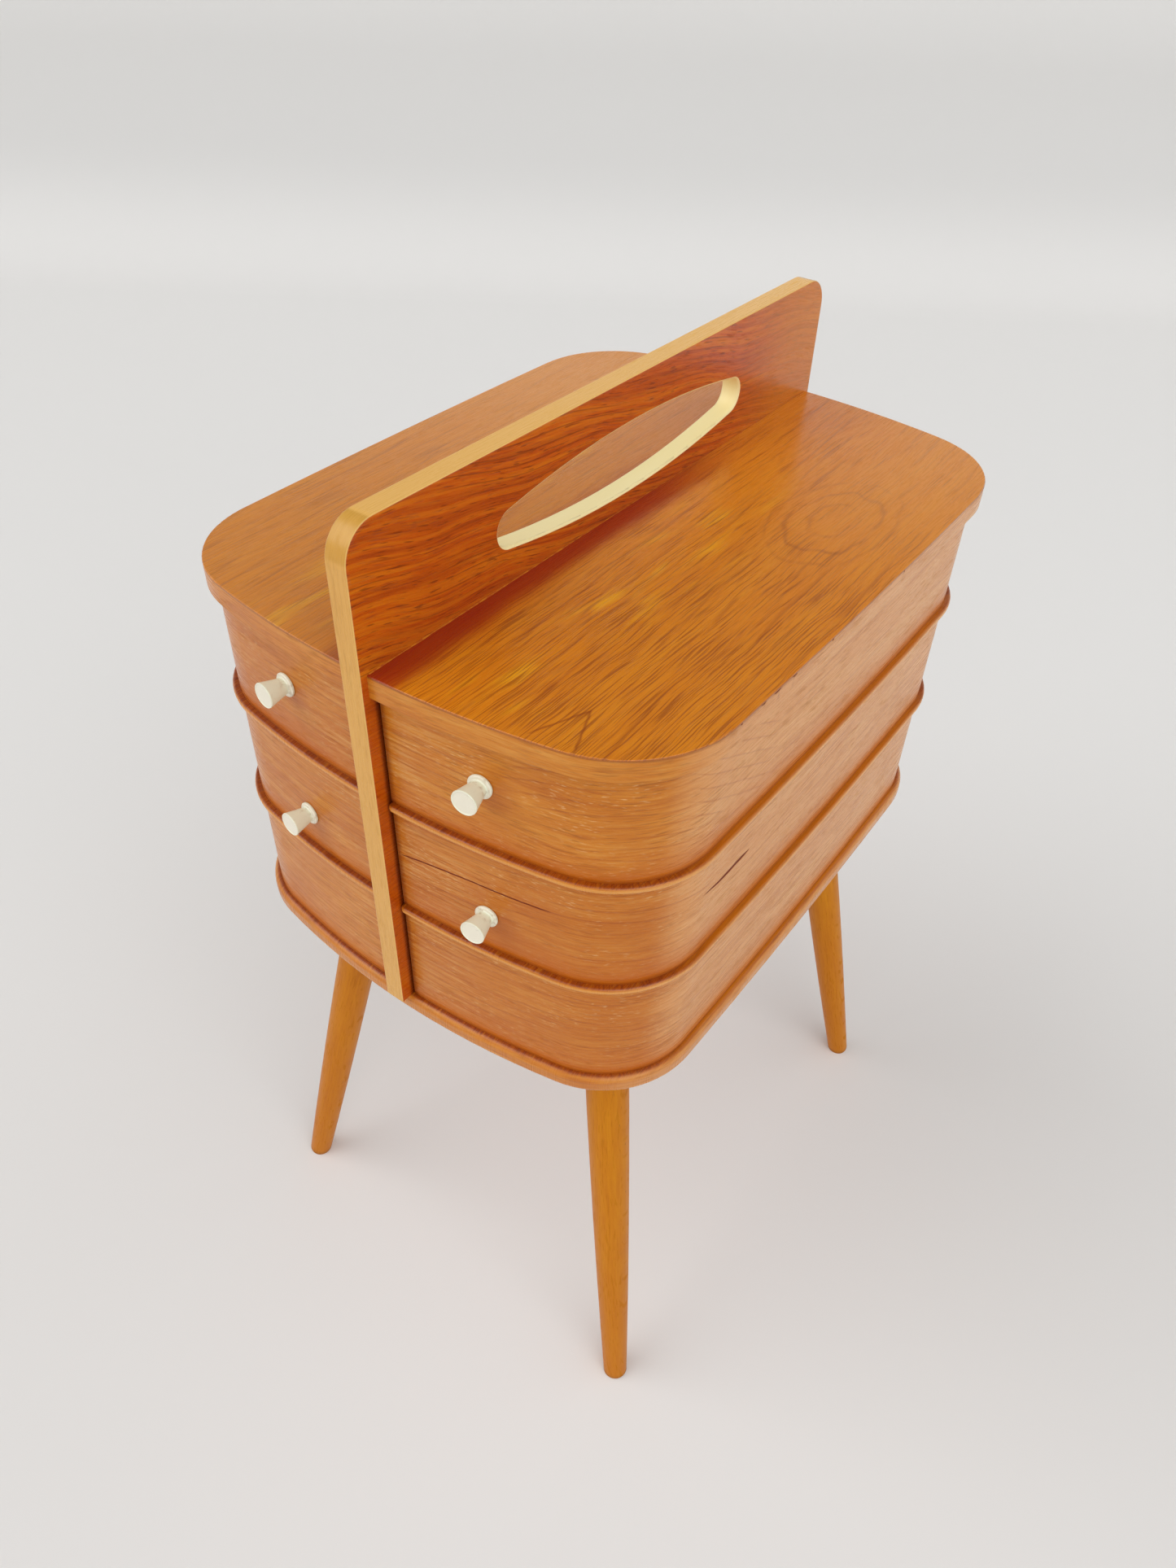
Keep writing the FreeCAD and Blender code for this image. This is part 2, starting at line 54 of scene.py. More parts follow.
# The walls' growth lines bow about a place this far round from the board, and run level past the reach.
CORNER_TURN = 0.1250
BOW_REACH = 0.0550
BUMP_DEPTH = 0.0002


# ---------------------------------------------------------------- shader arithmetic


class Val:
    """A number from a shader socket; arithmetic on it adds math nodes."""

    def __init__(self, tree, socket):
        self.tree = tree
        self.socket = socket

    def do(self, kind, *others):
        return self.tree.math(kind, self, *others)

    def __add__(self, other):
        return self.do("ADD", other)

    def __sub__(self, other):
        return self.do("SUBTRACT", other)

    def __mul__(self, other):
        return self.do("MULTIPLY", other)

    def __truediv__(self, other):
        return self.do("DIVIDE", other)

    def __radd__(self, other):
        return self.do("ADD", other)

    def __rmul__(self, other):
        return self.do("MULTIPLY", other)

    def __rsub__(self, other):
        return self.tree.math("SUBTRACT", other, self)

    def __abs__(self):
        return self.do("ABSOLUTE")

    def fract(self):
        return self.do("FRACT")

    def sqrt(self):
        return self.do("SQRT")

    def low(self, other):
        return self.do("MINIMUM", other)

    def high(self, other):
        return self.do("MAXIMUM", other)

    def rise(self, start, end):
        """0 below start, 1 above end and smooth between them; falls instead when end is below start."""
        return self.tree.rise(self, start, end)

    def near(self, middle, width):
        """1 at middle, falling smoothly to 0 at width either side of it."""
        return abs(self - middle).rise(width, 0.0)


class Tree:
    """One material, built node by node."""

    def __init__(self, name):
        self.material = bpy.data.materials.new(name)
        self.material.use_nodes = True
        self.tree = self.material.node_tree
        self.tree.nodes.clear()

    def add(self, kind, **settings):
        node = self.tree.nodes.new(kind)
        for key, value in settings.items():
            setattr(node, key, value)
        return node

    def put(self, value, socket):
        if isinstance(value, Val):
            self.tree.links.new(value.socket, socket)
        elif value is not None:
            socket.default_value = value

    def math(self, kind, *values):
        node = self.add("ShaderNodeMath", operation=kind)
        for value, socket in zip(values, node.inputs):
            self.put(value, socket)
        return Val(self, node.outputs[0])

    def rise(self, value, start, end):
        node = self.add("ShaderNodeMapRange", interpolation_type="SMOOTHSTEP", clamp=True)
        falling = end < start
        self.put(value, node.inputs["Value"])
        self.put(min(start, end), node.inputs["From Min"])
        self.put(max(start, end), node.inputs["From Max"])
        self.put(1.0 if falling else 0.0, node.inputs["To Min"])
        self.put(0.0 if falling else 1.0, node.inputs["To Max"])
        return Val(self, node.outputs["Result"])

    def split(self, socket):
        node = self.add("ShaderNodeSeparateXYZ")
        self.tree.links.new(socket, node.inputs[0])
        return tuple(Val(self, out) for out in node.outputs)

    def join(self, *parts):
        node = self.add("ShaderNodeCombineXYZ")
        for part, socket in zip(parts, node.inputs):
            self.put(part, socket)
        return Val(self, node.outputs[0])

    def position(self):
        """The point's place in the object's own frame, in metres."""
        return self.split(self.add("ShaderNodeTexCoord").outputs["Object"])

    def facing(self):
        """The surface's direction in the object's own frame."""
        return self.split(self.add("ShaderNodeTexCoord").outputs["Normal"])

    def noise(self, point, detail=2.0, rough=0.5):
        """Noise in 0 to 1, with features about 1 wide in point."""
        node = self.add("ShaderNodeTexNoise", noise_dimensions="3D")
        self.put(self.join(*point), node.inputs["Vector"])
        node.inputs["Scale"].default_value = 1.0
        node.inputs["Detail"].default_value = detail
        node.inputs["Roughness"].default_value = rough
        return Val(self, node.outputs["Fac"])

    def mix(self, amount, first, second):
        """Colour first where amount is 0, and second where it is 1."""
        node = self.add("ShaderNodeMix", data_type="RGBA")
        self.put(amount, node.inputs[0])
        for colour, socket in ((first, node.inputs[6]), (second, node.inputs[7])):
            self.put(colour if isinstance(colour, Val) else (*colour, 1.0), socket)
        return Val(self, node.outputs[2])

    def line(self, along, points):
        """A value drawn against along by a smooth curve through the points (along, value)."""
        low_x, high_x = points[0][0], points[-1][0]
        values = [p[1] for p in points]
        low, high = min(values), max(values)
        node = self.add("ShaderNodeFloatCurve")
        self.put((along - low_x) / (high_x - low_x), node.inputs["Value"])
        curve = node.mapping.curves[0]
        for x, value in points[1:-1]:
            curve.points.new((x - low_x) / (high_x - low_x), (value - low) / (high - low))
        for end, point in ((curve.points[0], points[0]), (curve.points[-1], points[-1])):
            end.location = ((point[0] - low_x) / (high_x - low_x), (point[1] - low) / (high - low))
        node.mapping.update()
        return Val(self, node.outputs[0]) * (high - low) + low

    def finish(self, colour, roughness, height=None, bump=0.3, coat=0.0, coat_roughness=0.1, specular=0.5,
               metallic=0.0):
        """Ends the material in a Principled shader."""
        shader = self.add("ShaderNodeBsdfPrincipled")
        output = self.add("ShaderNodeOutputMaterial")
        self.put(colour if isinstance(colour, Val) else (*colour, 1.0), shader.inputs["Base Color"])
        self.put(roughness, shader.inputs["Roughness"])
        shader.inputs["Specular IOR Level"].default_value = specular
        shader.inputs["Coat Weight"].default_value = coat
        shader.inputs["Coat Roughness"].default_value = coat_roughness
        shader.inputs["Metallic"].default_value = metallic
        if height is not None:
            node = self.add("ShaderNodeBump")
            node.inputs["Strength"].default_value = bump
            node.inputs["Distance"].default_value = BUMP_DEPTH
            self.put(height, node.inputs["Height"])
            self.tree.links.new(node.outputs["Normal"], shader.inputs["Normal"])
        self.tree.links.new(shader.outputs["BSDF"], output.inputs["Surface"])
        return self.material


# ---------------------------------------------------------------- wood

WALL_TONES = {"light": (0.72, 0.310, 0.048), "body": (0.62, 0.205, 0.014), "dark": (0.48, 0.125, 0.007)}
# Painted sheen: paler tones for the sides that face along X, standing in for the pale reflection there.
SIDE_SHEEN_TONES = {"light": (0.80, 0.440, 0.190), "body": (0.74, 0.345, 0.115), "dark": (0.60, 0.235, 0.060)}
LID_TONES = {"light": (0.86, 0.365, 0.014), "body": (0.76, 0.240, 0.006), "dark": (0.58, 0.138, 0.003)}
BOARD_TONES = {"light": (0.70, 0.190, 0.004), "body": (0.58, 0.100, 0.002), "dark": (0.38, 0.042, 0.001)}
PLATE_TONES = {"light": (0.60, 0.200, 0.010), "body": (0.46, 0.100, 0.003), "dark": (0.26, 0.040, 0.002)}
LEG_TONES = {"light": (0.66, 0.260, 0.004), "body": (0.58, 0.195, 0.002), "dark": (0.48, 0.135, 0.001)}
STRAW_TONES = {"light": (0.80, 0.450, 0.110), "body": (0.74, 0.380, 0.075), "dark": (0.64, 0.300, 0.050)}
INNER_TONES = {"light": (0.80, 0.560, 0.310), "body": (0.70, 0.440, 0.210), "dark": (0.52, 0.280, 0.110)}

# Plain colours of stains, marks, growth lines, painted shade, shadow, sheen, highlight and reflection, and
# the small parts.
SHADED = (0.46, 0.095, 0.003)
STAIN = (0.50, 0.125, 0.004)
TICK = (0.88, 0.540, 0.230)
RUBBED = (0.84, 0.470, 0.150)
KNOB_SHADOW = (0.42, 0.090, 0.003)
WALL_GROWTH = (0.34, 0.066, 0.003)
FOOT_SHADE = (0.56, 0.130, 0.003)
FOOT_SHADE_DEEP = (0.52, 0.100, 0.002)
CREVICE_SHADE = (0.26, 0.045, 0.003)
CRACK = (0.150, 0.011, 0.001)
EDGING_GROWTH = (0.30, 0.075, 0.010)
VENEER_EDGE = (0.20, 0.050, 0.006)
SCRATCH = (0.30, 0.090, 0.015)
CHIPPED = (0.17, 0.032, 0.001)
GOLD = (0.92, 0.420, 0.008)
LID_GROWTH = (0.32, 0.062, 0.003)
LID_PORE = (0.28, 0.052, 0.002)
BOARD_REFLECTION_AND_SHADE = (0.40, 0.030, 0.001)
DEEP_BOARD_SHADE = (0.32, 0.012, 0.001)
DULLED = (0.62, 0.340, 0.120)
LID_FAR_SHEEN = (0.84, 0.350, 0.050)
LID_ARRIS = (0.34, 0.085, 0.006)
STRIPE_DARK = (0.28, 0.040, 0.003)
STRIPE_LIGHT = (0.72, 0.235, 0.007)
BOARD_GROWTH = (0.18, 0.028, 0.002)
BOARD_PORE = (0.15, 0.018, 0.001)
BOARD_LOW_SHADE = (0.50, 0.090, 0.003)
BOARD_REAR = (0.66, 0.250, 0.020)
GAP_SHADE = (0.10, 0.010, 0.001)
HOLE_DARK = (0.95, 0.820, 0.400)
HOLE_LIGHT = (0.99, 0.890, 0.490)
BAND_TOP_LIT = (1.0, 0.580, 0.150)
BAND_BEND = (0.56, 0.270, 0.020)
BAND_ARRIS = (0.92, 0.640, 0.230)
END_GRAIN = (0.20, 0.026, 0.002)
LEDGE = (0.66, 0.215, 0.004)
RIM_WEAR_AND_HIGHLIGHT = (0.90, 0.430, 0.090)
LEG_MARK = (0.22, 0.070, 0.010)
LEG_LOW = (0.50, 0.140, 0.001)
LEG_END = (0.20, 0.085, 0.020)
CREAM_DARK = (0.86, 0.800, 0.640)
CREAM_LIGHT = (0.92, 0.862, 0.720)
CREAM_SIDE = (0.86, 0.920, 0.720)
DIRT = (0.42, 0.300, 0.160)
SPECK = (0.50, 0.400, 0.260)
STEEL_DARK = (0.42, 0.41, 0.39)
STEEL_LIGHT = (0.60, 0.59, 0.57)
GLUE_DARK = (0.44, 0.070, 0.002)
GLUE_LIGHT = (0.62, 0.180, 0.006)
FLOOR = (0.87, 0.862, 0.850)


def wood(tree, along, across, seed, tones, pores=1.0, drift=0.004, streak=0.006, patch=0.5, grain=1.0):
    """Colour, height and roughness of wood, from the distances along and across the grain in metres."""
    wander = tree.noise((along / 0.16, across / 0.05, seed)) - 0.5
    ripple = tree.noise((along / 0.040, across / 0.012, seed + 3.1)) - 0.5
    v = across + wander * drift * 2 + ripple * 0.0010
    band = tree.noise((along / 0.35, v / streak, seed + 5.7), detail=3.0)
    cloud = tree.noise((along / 0.060, v / 0.016, seed + 9.2), detail=3.0)
    fibre = tree.noise((along / 0.022, v / 0.0011, seed + 12.4), detail=3.0, rough=0.6)
    fleck = tree.noise((along / 0.009, v / 0.0030, seed + 15.8), detail=2.0)
    dash = tree.noise((along / 0.0100, v / 0.00085, seed + 20.3), detail=1.0)
    thick = tree.noise((along / 0.05, v / 0.012, seed + 24.9), detail=1.0)
    pore = (dash + (thick - 0.5) * 0.30).rise(0.56, 0.72)
    shade = 0.5 + (band - 0.5) * (0.7 * grain) + (cloud - 0.5) * patch
    shade = shade + (fibre - 0.5) * (1.1 * grain) + (fleck - 0.5) * (0.25 * grain)
    colour = tree.mix(shade.rise(0.05, 0.55), tones["dark"], tones["body"])
    colour = tree.mix(shade.rise(0.45, 0.95), colour, tones["light"])
    colour = tree.mix(pore * (0.55 * pores), colour, tuple(c * 0.42 for c in tones["dark"]))
    height = fibre * 0.35 - pore * (1.0 * pores)
    roughness = 0.24 + pore * 0.25 + fibre * 0.07
    return colour, height, roughness


def growth(tree, along, across, seed, spacing, slope=0.0, warp=1.2):
    """Thin growth lines along the grain: 1 in a line's middle, and they come and go along their length."""
    swirl = tree.noise((along / 0.14, across / 0.035, seed)) * warp
    phase = ((across + along * slope) / spacing + swirl).fract()
    there = tree.noise((along / 0.055, across / 0.014, seed + 4.4)).rise(0.42, 0.60)
    return phase.rise(0.76, 0.95) * phase.rise(1.0, 0.97) * there


def around(tree, x, y, radius):
    """Distance round the bent wall: 0 at x = 0 on the front, and growing past the side to the rear."""
    ax, ay = abs(x), abs(y)
    over_x, over_y = (ax - CORNER_X).high(0.0), (ay - CORNER_Y).high(0.0)
    turn = tree.math("ARCTAN2", over_x, over_y) * radius
    quarter = ax.low(CORNER_X) + turn + (CORNER_Y - ay.low(CORNER_Y))
    half = CORNER_X + radius * math.pi / 2 + CORNER_Y
    behind = y.rise(-1e-5, 1e-5)
    return quarter + behind * (2 * half - 2 * quarter)


def shadow_line(height, level, reach, side=1):
    """1 at a level, falling to 0 over reach above it, or below it when side is -1."""
    return ((height - level) * side).rise(reach, 0.0)


# Cracks in the right middle wall: points (distance round from the board, height), half width, length of the
# fine start.
CRACKS = (
    (((0.008, 0.4500), (0.031, 0.4540), (0.052, 0.4560), (0.071, 0.4564), (0.098, 0.4572)), 0.00062, 0.006),
    (
        ((0.172, 0.4564), (0.1844, 0.4543), (0.1943, 0.4535), (0.2087, 0.4540), (0.222, 0.4542)),
        0.00155,
        0.030,
    ),
)

# The arches in the right upper wall: the tip's distance round and height, lean, narrowness and spacing.
ARCH = (0.229, 0.4925, 0.28, 4.6, 0.036)

# Each wall's bow in its growth lines, per metre, and how much darker than the right upper wall it is.
WALLS = {
    ("upper", "right"): (3.2, 0.0),
    ("middle", "right"): (1.6, 0.34),
    ("lower", "right"): (1.2, 0.28),
    ("upper", "left"): (-1.0, 0.22),
    ("middle", "left"): (0.8, 0.12),
    ("lower", "left"): (1.4, 0.0),
}


def nested_arches(tree, round_, z, seed, lines):
    """The growth lines, with a nest of pointed arches lying on its side in them."""
    tip, level, lean, narrow, gap = ARCH
    back = tip - round_
    fold = (abs(z - level - back * lean) * narrow - back) / gap
    fold = fold + tree.noise((round_ / 0.04, z / 0.010, seed + 44.0)) * 0.30
    fold = fold.fract()
    near = round_.near(tip - 0.035, 0.055)
    arches = fold.rise(0.80, 0.96) * fold.rise(1.0, 0.97) * near.rise(0.1, 0.6) * 0.8
    return lines * (1.0 - near) + arches


def crack_depth(tree, round_, z, seed, points, width, start_taper):
    """1 inside a crack that runs through the points (distance round, height), and 0 outside it."""
    centre = tree.line(round_, points)
    start, end = points[0][0], points[-1][0]
    taper = round_.rise(start, start + start_taper) * round_.rise(end, end - 0.010)
    wobble = (tree.noise((round_ / 0.004, z / 0.01, seed + 50.0)) - 0.5) * 0.0006
    gap = abs(z - centre + wobble) / (taper * 0.8 + 0.2)
    return gap.rise(width, width * 0.45) * taper.rise(0.02, 0.25)


def wall_material(name, tier, side, seed, bow, shade, knob, cracks, arched):
    """A bent wall: stained outside, with a painted sheen on the sides, and pale inside. Bow bends its growth
    lines.
    """
    tree = Tree(name)
    x, y, z = tree.position()
    nx, ny, nz = tree.facing()
    round_ = around(tree, x, y, WALL_R)
    front, height, roughness = wood(tree, round_, z, seed, WALL_TONES, pores=0.7, drift=0.006, patch=0.45)
    side_sheen, _, _ = wood(tree, round_, z, seed, SIDE_SHEEN_TONES, pores=0.6, drift=0.006, patch=0.35)
    front = tree.mix(shade, front, SHADED)
    stain = tree.noise((round_ / 0.055, z / 0.030, seed + 26.0), detail=1.0).rise(0.45, 0.68)
    front = tree.mix(stain * 0.36, front, STAIN)
    # Painted sheen: the sides that face along X take the paler tones.
    colour = tree.mix(abs(nx).rise(0.82, 0.995) * 0.80, front, side_sheen)
    tick = tree.noise((round_ / 0.0045, z / 0.0009, seed + 28.0), detail=1.0).rise(0.60, 0.72)
    worn = tree.noise((round_ / 0.04, z / 0.02, seed + 30.0)).rise(0.35, 0.65)
    colour = tree.mix(tick * worn * 0.55, colour, TICK)
    rubbed = tree.noise((round_ / 0.030, z / 0.0018, seed + 29.0), detail=2.0).rise(0.48, 0.66)
    colour = tree.mix(rubbed * round_.rise(0.075, 0.020) * 0.32, colour, RUBBED)
    if knob:
        # Painted shadow of the knob: a soft dark patch a little right of and below it.
        away_x, away_z = x - (knob.x + 0.006), z - (knob.z - 0.002)
        knob_shadow = (away_x * away_x + away_z * away_z).sqrt().rise(0.0150, 0.0040) * y.rise(-0.15, -0.17)
        colour = tree.mix(knob_shadow * 0.38, colour, KNOB_SHADOW)
    from_corner = (round_ - CORNER_TURN).low(BOW_REACH).high(-BOW_REACH)
    bowed = z + from_corner * from_corner * bow
    lines = growth(tree, round_, bowed, seed + 33.0, 0.0068)
    if arched:
        lines = nested_arches(tree, round_, z, seed, lines)
    colour = tree.mix(lines * 0.46, colour, WALL_GROWTH)
    low, high = TIERS[tier]
    # Painted shade on the wall just above its foot at the ledge, deepest close to it.
    colour = tree.mix(shadow_line(z, low, 0.026) * 0.45, colour, FOOT_SHADE)
    colour = tree.mix(shadow_line(z, low, 0.009) * 0.45, colour, FOOT_SHADE_DEEP)
    # Painted shade: a dark line at the wall's foot, a faint one just under its top edge, and darkening where
    # the wall ends beside the board.
    crevice_shade = shadow_line(z, low, 0.0028) * 0.55 + shadow_line(z, high, 0.003, -1) * 0.15
    board_side = abs(x).rise(0.011, 0.0072) * abs(y).rise(0.17, 0.19) * 0.75
    colour = tree.mix((crevice_shade + board_side).low(1.0), colour, CREVICE_SHADE)
    for points, width, start_taper in cracks:
        deep = crack_depth(tree, round_, z, seed, points, width, start_taper)
        colour = tree.mix(deep * 0.95, colour, CRACK)
        roughness = roughness + deep * 0.7
        height = height - deep * 3.0
    # the pale inner face, and the edges of the plies on top
    outward = (abs(x) - 0.060) * nx * SIDES[side] + y * ny
    inside = outward.rise(0.002, -0.002) * abs(nz).rise(0.6, 0.4)
    pale, _, _ = wood(tree, round_, z, seed + 70.0, INNER_TONES, pores=0.3, patch=0.3)
    colour = tree.mix(inside, colour, pale)
    return tree.finish(colour, roughness, height, bump=0.35, coat=0.05, coat_roughness=0.18, specular=0.30)


# Chips in the right lid's side edge: place along it, and half width.
CHIPS = (
    (-0.128, 0.0030),
    (-0.110, 0.0070),
    (-0.098, 0.0120),
    (-0.083, 0.0070),
    (-0.047, 0.0040),
    (0.031, 0.0030),
)


def edging_material(name, side, seed):
    """The lid's veneered edge, chipped in places just under its face veneer."""
    tree = Tree(name)
    x, y, z = tree.position()
    nx = tree.facing()[0]
    round_ = around(tree, x, y, LID_R)
    front, height, roughness = wood(tree, round_, z, seed, WALL_TONES, pores=0.5, drift=0.003, patch=0.4)
    side_sheen, _, _ = wood(tree, round_, z, seed, SIDE_SHEEN_TONES, pores=0.5, drift=0.003, patch=0.4)
    # Painted sheen: the edge's sides that face along X take the paler tones.
    colour = tree.mix(abs(nx).rise(0.82, 0.995) * 0.80, front, side_sheen)
    lines = growth(tree, round_, z, seed + 5.0, 0.0050, 0.02)
    colour = tree.mix(lines * 0.30, colour, EDGING_GROWTH)
    colour = tree.mix(shadow_line(z, LID_TOP - 0.0008, 0.0010, -1) * 0.55, colour, VENEER_EDGE)
    chip = None
    for place, width in CHIPS:
        one = y.near(place, width)
        chip = one if chip is None else chip.high(one)
    ragged = tree.noise((y / 0.0015, z / 0.0012, seed + 40.0))
    scratch = tree.noise((y / 0.0012, z / 0.010, seed + 43.0)).rise(0.55, 0.70)
    on_side = abs(x).rise(0.14, 0.15)
    scratched = chip * scratch * z.rise(LID_TOP - 0.0100, LID_TOP - 0.0040) * on_side
    chip = (chip * z.rise(LID_TOP - 0.0040, LID_TOP - 0.0010) + ragged * 0.5).rise(0.95, 1.15) * on_side
    if side == "left":
        chip = chip * 0.3
    colour = tree.mix(scratched * 0.55, colour, SCRATCH)
    colour = tree.mix(chip * 0.92, colour, CHIPPED)
    roughness, height = roughness + chip * 0.7, height - chip
    return tree.finish(colour, roughness, height, bump=0.35, coat=0.05, coat_roughness=0.18, specular=0.36)


def lid_material(name, seed, contrast, fade, eye, wings):
    """Open-pored lid: eye is the middle of a nest of rings, and wings the tip of a small arch by an end."""
    tree = Tree(name)
    x, y, z = tree.position()
    nz = tree.facing()[2]
    colour, height, roughness = wood(tree, y, x, seed, LID_TONES, pores=0.3, drift=0.008, streak=0.016,
                                     patch=0.06 * contrast, grain=0.50 * contrast)
    bend = (tree.noise((y / 0.05, x / 0.025, seed + 31.0)) - 0.5) * 0.010
    gold = tree.noise((y / 0.055, (x + bend) / 0.010, seed + 36.0), detail=2.0).rise(0.50, 0.72)
    strip = abs(x).near(0.056, 0.036) * y.rise(0.08, 0.02)
    colour = tree.mix(gold * (strip * 0.80 + 0.06), colour, GOLD)
    lines = growth(tree, y, x, seed + 52.0, 0.0110, 0.04, 1.6) * 0.7
    eye_x, eye_y = eye
    across, along = x - eye_x + bend, (y - eye_y) * 0.60
    ring = (across * across + along * along).sqrt()
    ring = ring + (tree.noise((y / 0.030, x / 0.018, seed + 57.0)) - 0.5) * 0.010
    there = tree.noise((y / 0.020, x / 0.012, seed + 59.0)).rise(0.34, 0.56)
    rings = None
    for reach, weight in ((0.0220, 0.90), (0.0125, 0.60), (0.0310, 0.50)):
        one = ring.near(reach, 0.0016) * there * weight
        rings = one if rings is None else rings.high(one)
    lines = (lines * ring.rise(0.024, 0.034)).high(rings)
    wing_x, wing_y = wings
    peak = y - wing_y + abs(x - wing_x) * 2.4
    peak = peak + (tree.noise((x / 0.004, y / 0.006, seed + 60.0)) - 0.5) * 0.004
    arch = peak.near(0.0, 0.0030) * abs(x - wing_x).rise(0.0125, 0.0100) * 1.3
    lines = lines.high(arch)
    colour = tree.mix((lines * 0.55).low(1.0), colour, LID_GROWTH)
    dash = tree.noise((y / 0.0380, (x + bend * 0.5) / 0.00080, seed + 66.0), detail=2.0)
    coarse = tree.noise((y / 0.09, x / 0.03, seed + 69.0), detail=1.0)
    forward = y.rise(0.14, -0.10) * 0.08
    dash = (dash + (coarse - 0.5) * 0.08 + forward).rise(0.57, 0.69)
    colour = tree.mix(dash * (0.62 * contrast), colour, LID_PORE)
    # Painted reflection and shade of the board on the lid beside it, deepest close to the board towards the
    # front.
    edge = tree.noise((y / 0.05, 0.5, seed + 72.0)) * 0.010
    board_reflection_and_shade = (abs(x) + edge).rise(0.036, 0.010) * y.rise(0.16, -0.04)
    colour = tree.mix(board_reflection_and_shade * (0.80 * contrast), colour, BOARD_REFLECTION_AND_SHADE)
    deep_board_shade = (abs(x) + edge).rise(0.031, 0.019) * y.rise(0.10, 0.0)
    colour = tree.mix(deep_board_shade * (0.75 * contrast), colour, DEEP_BOARD_SHADE)
    colour = tree.mix(fade, colour, DULLED)
    # Painted sheen: paler towards the lid's far outer part.
    outer_far_sheen = y.rise(-0.03, 0.12) * abs(x).rise(0.055, 0.115)
    colour = tree.mix(outer_far_sheen * 0.35, colour, LID_FAR_SHEEN)
    colour = tree.mix(nz.rise(0.85, 0.45) * 0.7, colour, LID_ARRIS)
    return tree.finish(colour, roughness, height - dash * 0.6, bump=0.30, coat=0.22, coat_roughness=0.16)


def board_face(tree, x, y, z):
    """The centre board's wavy veneer, streaky above the lids and plain beside the walls, where painted shade
    darkens it.
    """
    rising = z + (y + 0.2) * 0.17 + (tree.noise((y / 0.07, z / 0.04, 2.2), detail=0.0) - 0.5) * 0.014
    colour, height, roughness = wood(tree, y, rising, 41.0, BOARD_TONES, pores=0.6, streak=0.010)
    handle = z.rise(LID_TOP - 0.004, LID_TOP + 0.002)
    stripe = tree.noise((y / 0.20, rising / 0.0034, 7.7), detail=1.0)
    colour = tree.mix(stripe.rise(0.52, 0.40) * handle * 0.30, colour, STRIPE_DARK)
    colour = tree.mix(stripe.rise(0.50, 0.64) * handle * 0.28, colour, STRIPE_LIGHT)
    lines = growth(tree, y, rising, 14.0, 0.0046, 0.0, 0.6)
    colour = tree.mix(lines * handle * 0.60, colour, BOARD_GROWTH)
    dash = tree.noise((y / 0.010, rising / 0.0011, 9.9), detail=1.0).rise(0.60, 0.72)
    colour = tree.mix(dash * 0.60, colour, BOARD_PORE)
    # Painted shade below the lids' top, where the board stands between the trays: darker, and very dark
    # except near its front and rear ends.
    colour = tree.mix((1.0 - handle) * 0.45, colour, BOARD_LOW_SHADE)
    colour = tree.mix(y.rise(0.09, 0.18) * handle * 0.55, colour, BOARD_REAR)
    gap_shade = (1.0 - handle) * abs(y).rise(0.1985, 0.1955)
    colour = tree.mix(gap_shade * 0.85, colour, GAP_SHADE)
    return colour, height, roughness


def board_material():
    tree = Tree("board_veneer")
    x, y, z = tree.position()
    nx = tree.facing()[0]
    colour, height, roughness = board_face(tree, x, y, z)
    soft = tree.noise((y / 0.060, x / 0.004, z / 0.060), detail=1.0)
    pale = tree.mix(soft, HOLE_DARK, HOLE_LIGHT)
    face = abs(nx).rise(0.93, 0.97)
    colour = tree.mix(face, pale, colour)
    roughness = roughness * face + (1.0 - face) * 0.40
    height = height * face
    return tree.finish(colour, roughness, height, bump=0.25, coat=0.08, coat_roughness=0.16, specular=0.34)


def band_material():
    tree = Tree("edge_band")
    x, y, z = tree.position()
    nx, _, nz = tree.facing()
    up, out = (z - (BOARD_TOP - BAND_R)).high(0.0), (abs(y) - (BAND_Y - BAND_R)).high(0.0)
    turn = tree.math("ARCTAN2", out, up) * BAND_R
    along = abs(y).low(BAND_Y - BAND_R) + turn + (BOARD_TOP - BAND_R - z).high(0.0)
    along = along + y.rise(-1e-5, 1e-5)     # so that the rear run doesn't repeat the front one
    colour, height, roughness = wood(tree, along, x, 61.0, STRAW_TONES, pores=0.35, drift=0.001,
                                     streak=0.004, patch=0.3, grain=0.55)
    bend = (up * out * 1e6).rise(20.0, 60.0)
    blotch = tree.noise((along / 0.006, x / 0.003, 64.0))
    # Painted light: the faces that look up are lighter.
    colour = tree.mix(nz.rise(0.3, 0.9) * 0.65, colour, BAND_TOP_LIT)
    colour = tree.mix(bend * (blotch * 0.40 + 0.40), colour, BAND_BEND)
    arris = abs(x).rise(0.0053, 0.0057)
    colour = tree.mix(arris * 0.40, colour, BAND_ARRIS)
    veneer, _, _ = board_face(tree, x, y, z)
    colour = tree.mix(abs(nx).rise(0.80, 0.92), colour, veneer)
    return tree.finish(colour, roughness, height, bump=0.2, coat=0.10, coat_roughness=0.2, specular=0.42)


